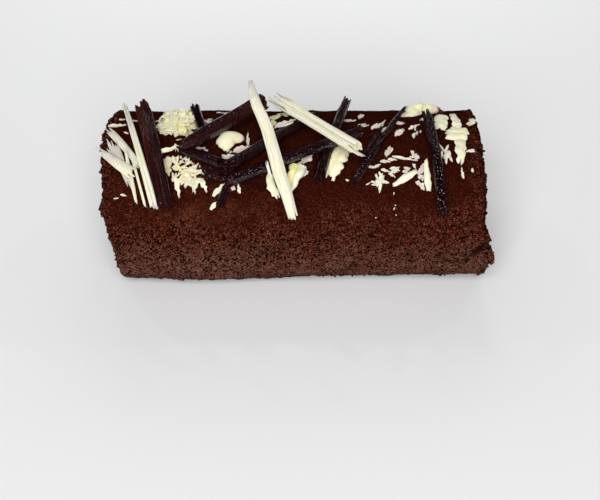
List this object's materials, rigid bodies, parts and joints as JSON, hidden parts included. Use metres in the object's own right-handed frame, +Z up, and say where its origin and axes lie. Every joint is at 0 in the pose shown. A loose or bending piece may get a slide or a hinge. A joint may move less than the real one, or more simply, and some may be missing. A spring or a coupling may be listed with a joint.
{
  "type": "swiss roll",
  "caption": "Uncut chocolate swiss roll topped with crossed dark and white chocolate pencils, curls and shavings.",
  "frame": {"origin": "middle of the flat underside of the roll, on the surface it rests on", "axes": "+X along the roll, +Y towards its back, +Z up"},
  "size_m": [0.2305, 0.1147, 0.112],
  "materials": {
    "chocolate_sponge": "porous moist chocolate sponge, matt",
    "dark_chocolate": "dark chocolate, satin, finely ridged along its length",
    "white_chocolate": "white chocolate, soft satin, finely ridged, translucent at thin edges"
  },
  "bodies": {
    "root": {"sponge_roll": "chocolate_sponge", "dark_pencil_left": "dark_chocolate", "dark_pencil_back": "dark_chocolate", "dark_pencil_short": "dark_chocolate", "dark_splinter_front": "dark_chocolate", "dark_pencil_upright": "dark_chocolate", "dark_pencil_lower": "dark_chocolate", "dark_pencil_middle": "dark_chocolate", "dark_pencil_crossing": "dark_chocolate", "dark_pencil_slanted": "dark_chocolate", "dark_pencil_right": "dark_chocolate", "white_pencil_left": "white_chocolate", "white_pencil_tall": "white_chocolate", "white_pencil_resting": "white_chocolate", "white_strip_upper": "white_chocolate", "white_strip_lower": "white_chocolate", "white_shard_left": "white_chocolate", "white_splinter_low": "white_chocolate", "white_curl_shell": "white_chocolate", "white_curl_centre": "white_chocolate", "white_curl_crinkled": "white_chocolate", "white_flake_back": "white_chocolate", "white_flake_narrow": "white_chocolate", "white_flake_slanted": "white_chocolate", "white_flake_square": "white_chocolate", "white_flake_right_back": "white_chocolate", "white_flake_right_wide": "white_chocolate", "white_flake_right_front": "white_chocolate", "white_flake_leaning": "white_chocolate", "shavings_heap_back": "white_chocolate", "shavings_heap_front": "white_chocolate"}
  },
  "joints": []
}
